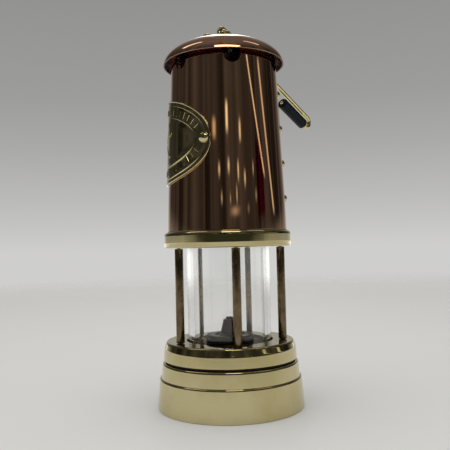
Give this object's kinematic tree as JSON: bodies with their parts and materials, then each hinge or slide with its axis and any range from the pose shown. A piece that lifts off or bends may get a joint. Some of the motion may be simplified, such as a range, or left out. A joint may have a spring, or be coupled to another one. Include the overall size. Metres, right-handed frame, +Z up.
{
  "type": "miner's safety lamp",
  "caption": "Brass and copper flame safety lamp with a screwed oil vessel, glass between pillars, double gauze under a vented bonnet, and a swinging belt hook.",
  "frame": {"origin": "centre of the foot's underside, on the lamp's axis", "axes": "+Z up along the lamp's axis; +X is the front, the name plate faces -Y and the bonnet's seam faces +Y"},
  "size_m": [0.1173, 0.1044, 0.2242],
  "materials": {
    "polished_brass": "polished",
    "dark_brass": "darkened by heat and lamp oil",
    "copper": "polished and lacquered copper",
    "glass": "clear",
    "gauze": "dull woven wire",
    "black_sleeve": "satin",
    "washer": "dull",
    "cotton": "woven cotton",
    "steel": "turned"
  },
  "bodies": {
    "vessel": {"fuel_vessel": "polished_brass", "vessel_base_plate": "polished_brass", "cotton_packing": "cotton", "burner_plate": "dark_brass", "burner_collar": "dark_brass", "burner_cone": "dark_brass", "adjuster_tube": "dark_brass"},
    "seal": {"vessel_seal": "washer"},
    "frame": {"lower_ring": "polished_brass", "glass_retaining_ring": "dark_brass", "lower_glass_washer": "washer", "glass_cylinder": "glass", "upper_glass_washer": "washer", "pillar_1": "dark_brass", "pillar_2": "dark_brass", "pillar_3": "dark_brass", "pillar_4": "dark_brass", "pillar_5": "dark_brass", "pillar_screw_1": "steel", "pillar_screw_2": "steel", "pillar_screw_3": "steel", "pillar_screw_4": "steel", "pillar_screw_5": "steel", "upper_ring": "polished_brass", "inner_gauze": "gauze", "outer_gauze": "gauze", "gauze_ring": "dark_brass", "bonnet": "copper", "seam_strip": "copper", "seam_rivet_1": "polished_brass", "seam_rivet_2": "polished_brass", "seam_rivet_3": "polished_brass", "seam_rivet_4": "polished_brass", "name_plate": "polished_brass", "plate_rivet_1": "polished_brass", "plate_rivet_2": "polished_brass", "cap": "copper", "cap_spider": "copper", "cap_rivet_1": "copper", "cap_rivet_2": "copper", "cap_rivet_3": "copper", "cap_rivet_4": "copper", "crown_washer": "polished_brass", "crown_staple": "polished_brass", "staple_nut_1": "polished_brass", "staple_nut_2": "polished_brass"},
    "hook": {"belt_hook": "polished_brass", "hook_grip": "black_sleeve"},
    "adjuster": {"adjuster_knob": "polished_brass", "adjuster_spindle": "steel"},
    "wick": {"wick": "cotton", "wick_holder": "dark_brass"},
    "filler_seat": {"filler_washer": "washer"},
    "filler": {"filler_plug": "polished_brass"}
  },
  "joints": [
    {"name": "frame_unscrew", "type": "hinge", "parent": "vessel", "child": "seal", "pos_m": [0, 0, 0.0275], "axis": [0, 0, 1], "range_deg": [0, 1080]},
    {"name": "frame_rise", "type": "slide", "parent": "seal", "child": "frame", "axis": [0, 0, 1], "range_m": [0, 0.0045]},
    {"name": "hook_swing", "type": "hinge", "parent": "frame", "child": "hook", "pos_m": [0, 0, 0.2198], "axis": [0.6361, 0.7716, 0], "range_deg": [0, 204]},
    {"name": "adjuster_turn", "type": "hinge", "parent": "vessel", "child": "adjuster", "pos_m": [-0.008, 0, 0.005], "axis": [0, 0, 1], "range_deg": [-720, 360]},
    {"name": "wick_height", "type": "slide", "parent": "vessel", "child": "wick", "axis": [0, 0, 1], "range_m": [-0.00125, 0.0025]},
    {"name": "filler_unscrew", "type": "hinge", "parent": "vessel", "child": "filler_seat", "pos_m": [0.018, 0, 0.005], "axis": [0, 0, -1], "range_deg": [0, 720]},
    {"name": "filler_drop", "type": "slide", "parent": "filler_seat", "child": "filler", "axis": [0, 0, -1], "range_m": [0, 0.0015]}
  ],
  "couplings": [
    {"joint": "frame_rise", "follows": "frame_unscrew", "m_per_rad": 0.0002387},
    {"joint": "adjuster_turn", "follows": "wick_height", "rad_per_m": -5026.6},
    {"joint": "filler_unscrew", "follows": "filler_drop", "rad_per_m": 8377.6}
  ]
}
